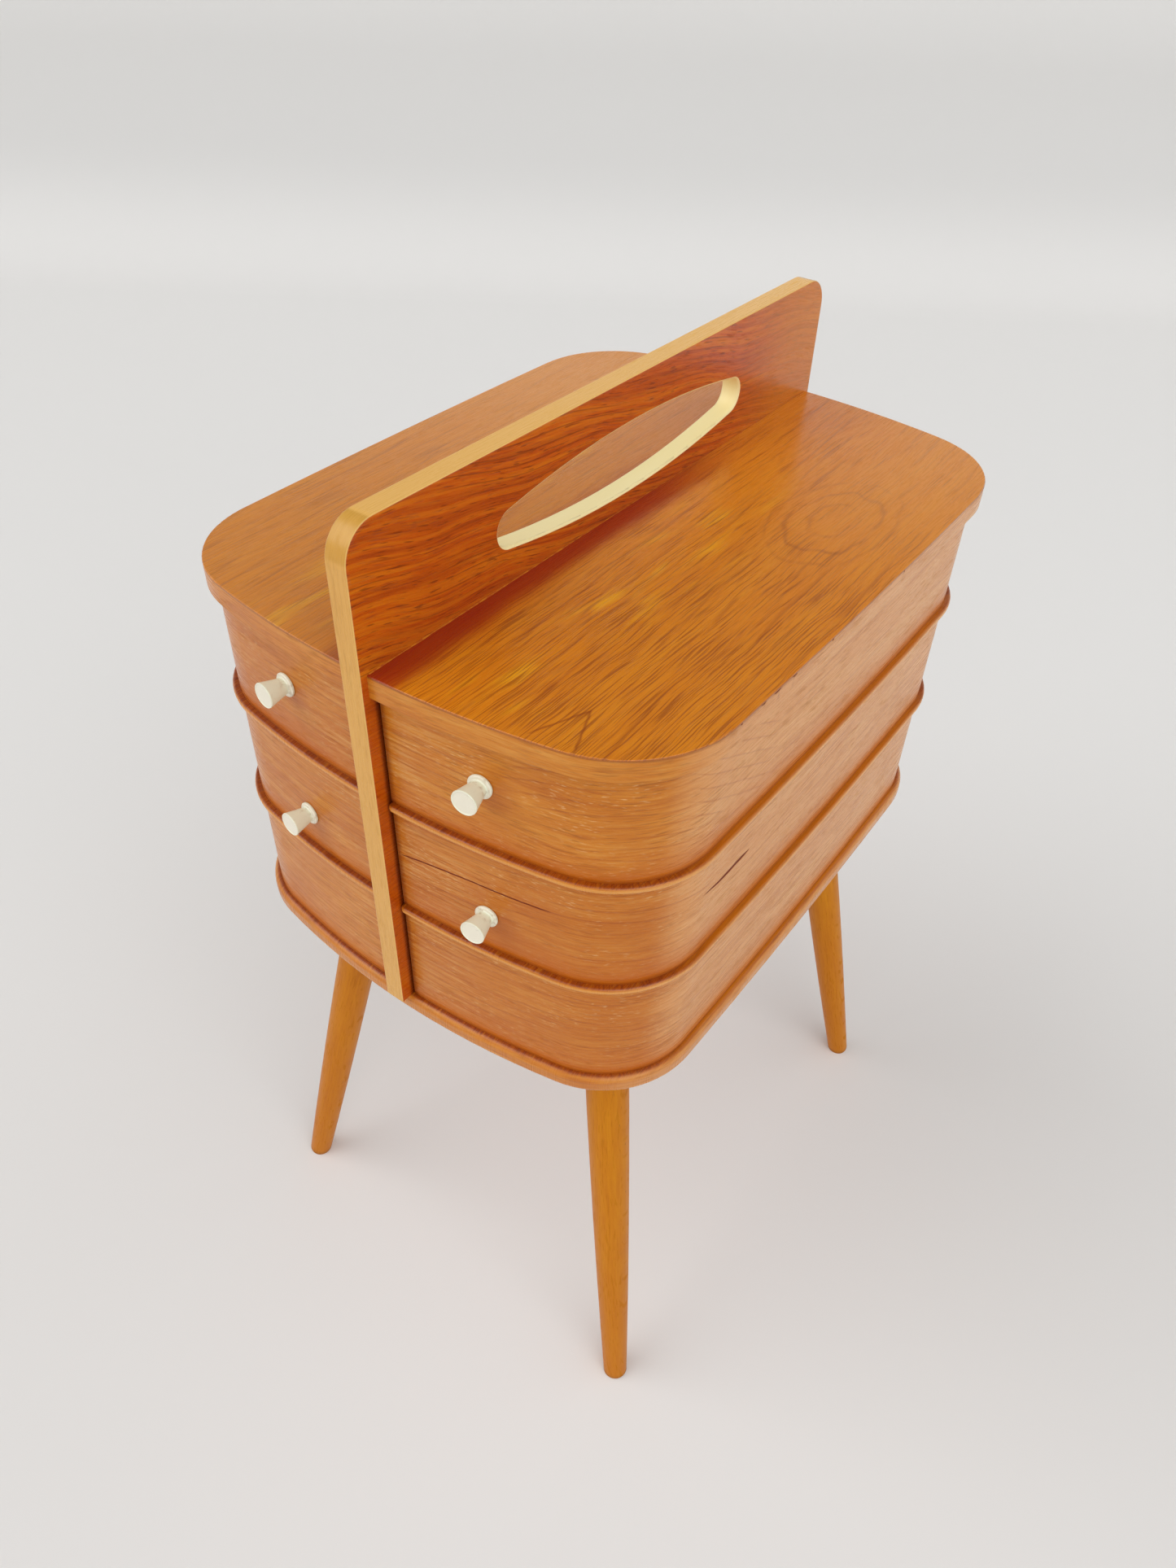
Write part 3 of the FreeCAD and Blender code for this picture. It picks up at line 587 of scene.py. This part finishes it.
def plate_material(name, seed, base=False):
    """Ply plate with its grain along Y: the sawn end grain at the front and rear takes the stain dark."""
    tree = Tree(name)
    x, y, z = tree.position()
    nx, _, nz = tree.facing()
    colour, height, roughness = wood(tree, y, abs(x), seed, PLATE_TONES, pores=0.8, streak=0.003, patch=0.5)
    round_ = around(tree, x, y, LID_R)
    front, nose_height, _ = wood(tree, round_, z, seed + 8.0, WALL_TONES, pores=0.4, drift=0.002, patch=0.4)
    side_sheen, _, _ = wood(tree, round_, z, seed + 8.0, SIDE_SHEEN_TONES, pores=0.4, drift=0.002, patch=0.4)
    # Painted sheen: the nose's sides that face along X take the paler tones.
    nose = tree.mix(abs(nx).rise(0.45, 0.98) * 0.6, front, side_sheen)
    hatch = tree.noise((round_ / 0.0011, y / 0.012, seed + 17.0), detail=2.0, rough=0.6).rise(0.38, 0.66)
    end_grain = abs(y).rise(0.11, 0.165)
    ledge = nz.rise(0.80, 0.97) if base else nz.rise(0.55, 0.90)
    colour = tree.mix(ledge * end_grain * (hatch * 0.45 + 0.30), colour, END_GRAIN)
    colour = tree.mix(ledge * (1.0 - end_grain) * 0.6, colour, LEDGE)
    outer = 1.0 - (abs(nz).rise(0.70, 0.97) if base else abs(nz).rise(0.45, 0.90))
    colour = tree.mix(outer * 0.92, colour, nose)
    if not base:
        # Paler upright rim of each tray bottom: partly wear, partly a painted highlight.
        colour = tree.mix(abs(nz).rise(0.45, 0.05) * 0.45, colour, RIM_WEAR_AND_HIGHLIGHT)
    return tree.finish(colour, roughness, height + nose_height * 0.2, bump=0.3, coat=0.1, coat_roughness=0.2,
                       specular=0.45)


def leg_material(name, sign_x, sign_y, seed):
    """Turned beech: coordinates turned so that the grain runs down the splayed leg."""
    tree = Tree(name)
    mirror = Vector((sign_x, sign_y, 1.0))
    top, foot = LEG_TOP * mirror, LEG_FOOT * mirror
    axis = (foot - top).normalized()
    side = axis.cross(Vector((0.0, 1.0, 0.0))).normalized()
    other = axis.cross(side)
    x, y, z = tree.position()
    parts = []
    for direction in (axis, side, other):
        parts.append((x - top.x) * direction.x + (y - top.y) * direction.y + (z - top.z) * direction.z)
    along, a, b = parts
    colour, height, roughness = wood(tree, along, a, seed, LEG_TONES, pores=0.30, drift=0.003,
                                     streak=0.007, patch=0.4, grain=0.7)
    mark = tree.noise((along / 0.009, a / 0.002, b / 0.002)).rise(0.70, 0.78)
    colour = tree.mix(mark * 0.5, colour, LEG_MARK)
    colour = tree.mix(z.rise(0.26, 0.02) * 0.40, colour, LEG_LOW)
    end = z.rise(0.006, 0.0)
    colour = tree.mix(end * 0.5, colour, LEG_END)
    return tree.finish(colour, roughness + 0.10, height, bump=0.2, coat=0.0, specular=0.15)


def plain_wood(name, seed, tones, along="y"):
    tree = Tree(name)
    x, y, z = tree.position()
    u, v = {"y": (y, z), "z": (z, x)}[along]
    colour, height, roughness = wood(tree, u, v, seed, tones, pores=0.35, patch=0.4)
    return tree.finish(colour, roughness, height, bump=0.25, coat=0.10, coat_roughness=0.25)


def knob_material():
    tree = Tree("knob_plastic")
    x, y, z = tree.position()
    ny = tree.facing()[1]
    cloud = tree.noise((x / 0.006, y / 0.006, z / 0.006))
    speck = tree.noise((x / 0.0012, y / 0.0012, z / 0.0012), detail=3.0).rise(0.66, 0.76)
    colour = tree.mix(cloud, CREAM_DARK, CREAM_LIGHT)
    colour = tree.mix(abs(ny).rise(0.85, 0.35) * 0.9, colour, CREAM_SIDE)
    dirt = tree.noise((x / 0.0025, y / 0.0025, z / 0.0025), detail=3.0).rise(0.50, 0.72)
    behind = y.rise(-0.1995, -0.1965)
    colour = tree.mix(behind * dirt * 0.45, colour, DIRT)
    colour = tree.mix(speck * 0.35, colour, SPECK)
    roughness = 0.30 + cloud * 0.12
    return tree.finish(colour, roughness, cloud * 0.4 - speck, bump=0.15, coat=0.2)


def steel_material():
    tree = Tree("steel")
    x, y, z = tree.position()
    turned = tree.noise((x / 0.004, y / 0.004, z / 0.0004), detail=2.0)
    colour = tree.mix(turned, STEEL_DARK, STEEL_LIGHT)
    return tree.finish(colour, 0.28 + turned * 0.18, turned, bump=0.15, metallic=1.0)


def glue_material():
    tree = Tree("old_glue")
    x, y, z = tree.position()
    lumps = tree.noise((x / 0.002, y / 0.004, z / 0.002), detail=3.0)
    colour = tree.mix(lumps.rise(0.35, 0.65), GLUE_DARK, GLUE_LIGHT)
    return tree.finish(colour, 0.5 + lumps * 0.2, lumps, bump=0.3, specular=0.2)


def middle_of(name):
    """The middle of a CAD node's bounding box at rest, in metres."""
    corners = [Vector(corner) for corner in nodes[name].bound_box]
    return sum(corners, Vector()) / len(corners)


STEEL_PARTS = ("screw", "rod", "washer", "leg_bolts", "leg_inserts")


def dress(names, material):
    """Gives CAD nodes a material in place of the one that they came with."""
    for name in names:
        node = nodes[name]
        node.data.materials.clear()
        node.data.materials.append(material)


for seed, ((tier, side), (bow, shade)) in enumerate(WALLS.items()):
    name = f"wall_{tier}_{side}"
    cracks = CRACKS if (tier, side) == ("middle", "right") else ()
    arched = (tier, side) == ("upper", "right")
    walls = [f"{tier}_tray_wall_{side}"]
    knob = middle_of(f"{tier}_knob_{side}") if tier != "lower" else None
    if tier == "lower":
        walls = [f"lower_wall_front_{side}", f"lower_wall_rear_{side}"]
    dress(walls, wall_material(name, tier, side, 11.0 * seed + 2.0, bow, shade, knob, cracks, arched))
for side in SIDES:
    dress([f"lid_edging_{side}"], edging_material(f"lid_edging_{side}", side, 90.0 + SIDES[side]))
dress(["lid_right"], lid_material("lid_right", 101.0, 1.0, 0.0, (0.101, 0.053), (0.0968, -0.1608)))
dress(["lid_left"], lid_material("lid_left", 113.0, 0.6, 0.18, (-0.085, -0.020), (-0.1000, 0.1500)))
dress(["centre_board"], board_material())
dress(["board_edge_band"], band_material())
for tier, seed in (("upper", 121.0), ("middle", 133.0)):
    for side in SIDES:
        dress([f"{tier}_tray_bottom_{side}"], plate_material(f"plate_{tier}_{side}", seed + SIDES[side]))
dress(["base_panel"], plate_material("base_veneer", 145.0, base=True))
for seed, corner in enumerate(CORNERS):
    sign_y, sign_x = (1 if "rear" in corner else -1), (1 if "right" in corner else -1)
    dress([f"leg_{corner}"], leg_material(f"leg_{corner}", sign_x, sign_y, 151.0 + 6 * seed))
dress([n for n in nodes if "inner_wall" in n], plain_wood("inner_wall", 171.0, INNER_TONES))
dress([n for n in nodes if "pivot_block" in n], plain_wood("pivot_block", 177.0, WALL_TONES, along="z"))
dress(["lid_dowels"], plain_wood("dowel_wood", 181.0, INNER_TONES))
dress([n for n in nodes if n.endswith(("knob_right", "knob_left"))], knob_material())
dress([n for n in nodes if any(word in n for word in STEEL_PARTS)], steel_material())


# ---------------------------------------------------------------- glue squeezed out along the lids' joints


GLUE_SIZE = 0.0006
GLUE_END = 0.0012          # from the lid's end to the bead's
GLUE_STEPS = 260
GLUE_ARC = 5


def glue_line(name, side):
    """A thin uneven bead in the corner between a lid and the board, thinner towards the rear."""
    mesh = bpy.data.meshes.new(name)
    bm = bmesh.new()
    rows = []
    start, end = -LID_HALF + GLUE_END, LID_HALF - GLUE_END
    for i in range(GLUE_STEPS + 1):
        y = start + (end - start) * i / GLUE_STEPS
        slow = noise.noise(Vector((y * 90.0, side * 3.0, 0.5)))
        fast = noise.noise(Vector((y * 400.0, 1.0, 2.0)))
        lift = noise.noise(Vector((y * 210.0, 7.0, side)))
        swell = 0.75 + 0.55 * slow + 0.3 * fast
        fade = 0.25 + 0.75 * min(1.0, max(0.0, (0.02 - y) / 0.16))
        width = GLUE_SIZE * fade * max(0.35, swell)
        rise = GLUE_SIZE * fade * max(0.35, swell + 0.25 * lift)
        row = [(HALF_BOARD, LID_TOP)]
        for k in range(GLUE_ARC):
            turn = math.pi / 2 * k / (GLUE_ARC - 1)
            row.append((HALF_BOARD + width * (1 - math.sin(turn)), LID_TOP + rise * (1 - math.cos(turn))))
        rows.append([bm.verts.new((side * px, y, pz)) for px, pz in row])
    for first, second in zip(rows, rows[1:]):
        count = len(first)
        for k in range(count):
            bm.faces.new((first[k], first[(k + 1) % count], second[(k + 1) % count], second[k]))
    bm.faces.new(rows[0])
    bm.faces.new(list(reversed(rows[-1])))
    bmesh.ops.recalc_face_normals(bm, faces=bm.faces)
    bm.to_mesh(mesh)
    bm.free()
    for face in mesh.polygons:
        face.use_smooth = True
    piece = bpy.data.objects.new(name, mesh)
    bpy.context.scene.collection.objects.link(piece)
    return piece


glue = glue_material()
for side, sign in SIDES.items():
    bead = glue_line(f"glue_line_{side}", sign)
    bead.data.materials.append(glue)
    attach(bead, "body")


# ---------------------------------------------------------------- floor, backdrop, light and camera


# The wall stands between these two places at the floor, and the floor turns up into it in a cove.
WALL_FROM = Vector((-2.606, 1.130, 0.0))
WALL_TO = Vector((-0.243, 2.784, 0.0))
ALONG_WALL = (WALL_TO - WALL_FROM).normalized()
TO_WALL = Vector((0.0, 0.0, 1.0)).cross(ALONG_WALL)
STAGE_HALF = 30.0
STAGE_NEAR = 14.0
COVE = 0.40
COVE_STEPS = 16
WALL_TOP = 1.7

# How bright the far floor, the cove and the wall's top are beside the near floor, which catches less light.
FAR_SHADE = 0.87
COVE_SHADE = 0.76
TOP_SHADE = 0.95


def stage_material(name, colour):
    """One pale paint, toned so that floor and wall look alike in the light that reaches them."""
    tree = Tree(name)
    x, y, z = tree.position()
    patch = tree.noise((x / 0.5, y / 0.5, z / 0.5), detail=4.0)
    shade = tree.mix(patch, tuple(c * 0.985 for c in colour), colour)
    far = y * TO_WALL.y + x * TO_WALL.x
    for amount, level in (
        (far.rise(0.2, 2.0), FAR_SHADE),
        (z.rise(0.0, 0.22), COVE_SHADE),
        (z.rise(0.12, 0.75), TOP_SHADE),
    ):
        shade = tree.mix(amount, shade, tuple(c * level for c in colour))
    return tree.finish(shade, 0.55, specular=0.3)


def backdrop():
    """The pale floor, turning up into a plain wall well behind the object."""
    profile = [(-STAGE_NEAR, 0.0), (-COVE, 0.0)]
    for k in range(1, COVE_STEPS + 1):
        turn = math.pi / 2 * k / COVE_STEPS
        profile.append((-COVE + COVE * math.sin(turn), COVE - COVE * math.cos(turn)))
    profile.append((0.0, WALL_TOP))
    mesh = bpy.data.meshes.new("floor_and_wall")
    bm = bmesh.new()
    rows = []
    for out, up in profile:
        middle = WALL_FROM + TO_WALL * out + Vector((0.0, 0.0, up))
        rows.append([bm.verts.new(middle + ALONG_WALL * t) for t in (-STAGE_HALF, STAGE_HALF)])
    for first, second in zip(rows, rows[1:]):
        bm.faces.new((first[0], first[1], second[1], second[0]))
    bm.to_mesh(mesh)
    bm.free()
    for face in mesh.polygons:
        face.use_smooth = True
    stage = bpy.data.objects.new("floor_and_wall", mesh)
    stage.data.materials.append(stage_material("pale_floor", FLOOR))
    bpy.context.scene.collection.objects.link(stage)


def sun(name, azimuth, elevation, spread, strength):
    """A window far away. Azimuth turns from -Y towards +X and spread is its width seen; all in degrees."""
    light = bpy.data.lights.new(name, "SUN")
    light.energy = strength
    light.angle = math.radians(spread)
    lamp = bpy.data.objects.new(name, light)
    a, e = math.radians(azimuth), math.radians(elevation)
    towards = Vector((math.sin(a) * math.cos(e), -math.cos(a) * math.cos(e), math.sin(e)))
    lamp.rotation_euler = towards.to_track_quat("Z", "Y").to_euler()
    lamp.location = towards * 3.0
    bpy.context.scene.collection.objects.link(lamp)


# The sky's strength, and what it falls to in the dim patch between these cosines from the patch's middle.
SKY = 0.72
DIM = 0.12
DIM_PATCH = Vector((-0.42, 0.60, 0.78))
DIM_EDGE = (0.62, 0.92)


def soft_sky():
    """White light from all round, with a dimmer patch high up behind the object, where the room goes on."""
    world = bpy.data.worlds.new("soft_sky")
    bpy.context.scene.world = world
    world.use_nodes = True
    tree = world.node_tree
    tree.nodes.clear()

    def node(kind, *inputs, **settings):
        made = tree.nodes.new(kind)
        for key, value in settings.items():
            setattr(made, key, value)
        for value, socket in zip(inputs, made.inputs):
            if isinstance(value, bpy.types.NodeSocket):
                tree.links.new(value, socket)
            elif value is not None:
                socket.default_value = value
        return made

    direction = node("ShaderNodeTexCoord").outputs["Generated"]
    towards_dim = node("ShaderNodeVectorMath", direction, DIM_PATCH.normalized(), operation="DOT_PRODUCT")
    dim = node("ShaderNodeMapRange", towards_dim.outputs["Value"], *DIM_EDGE, SKY, DIM,
               interpolation_type="SMOOTHSTEP").outputs[0]
    seen = node("ShaderNodeLightPath").outputs["Is Camera Ray"]
    strength = node("ShaderNodeMix", seen, None, dim, SKY, data_type="FLOAT").outputs[0]
    glow = node("ShaderNodeBackground", (1.0, 0.995, 0.985, 1.0), strength)
    node("ShaderNodeOutputWorld", glow.outputs[0])


backdrop()
soft_sky()
sun("front_left", -48.0, 42.0, 50.0, 0.72)
sun("front_right", 62.0, 40.0, 50.0, 0.68)


# The camera stands round from -Y towards +X by the azimuth and looks down by the elevation.
AZIMUTH = math.radians(34.656)
ELEVATION = math.radians(42.505)
ROLL = math.radians(2.081)
CAMERA_PLACE = (0.3122, -0.4716, 0.8468)


def place_camera():
    data = bpy.data.cameras.new("camera")
    data.lens = 25.965
    data.sensor_width = 36.0
    data.shift_y = 0.02076
    data.clip_start = 0.01
    data.clip_end = 60.0
    camera = bpy.data.objects.new("camera", data)
    level = Vector((math.cos(AZIMUTH), math.sin(AZIMUTH), 0.0))
    forward = Vector((-math.sin(AZIMUTH), math.cos(AZIMUTH), 0.0))
    ahead = forward * math.cos(ELEVATION) - Vector((0.0, 0.0, math.sin(ELEVATION)))
    right = level * math.cos(ROLL) + level.cross(ahead) * math.sin(ROLL)
    turned = Matrix((right, right.cross(ahead), -ahead)).transposed()
    camera.matrix_world = Matrix.Translation(CAMERA_PLACE) @ turned.to_4x4()
    bpy.context.scene.collection.objects.link(camera)
    bpy.context.scene.camera = camera


place_camera()
bpy.context.scene.view_settings.view_transform = "Standard"
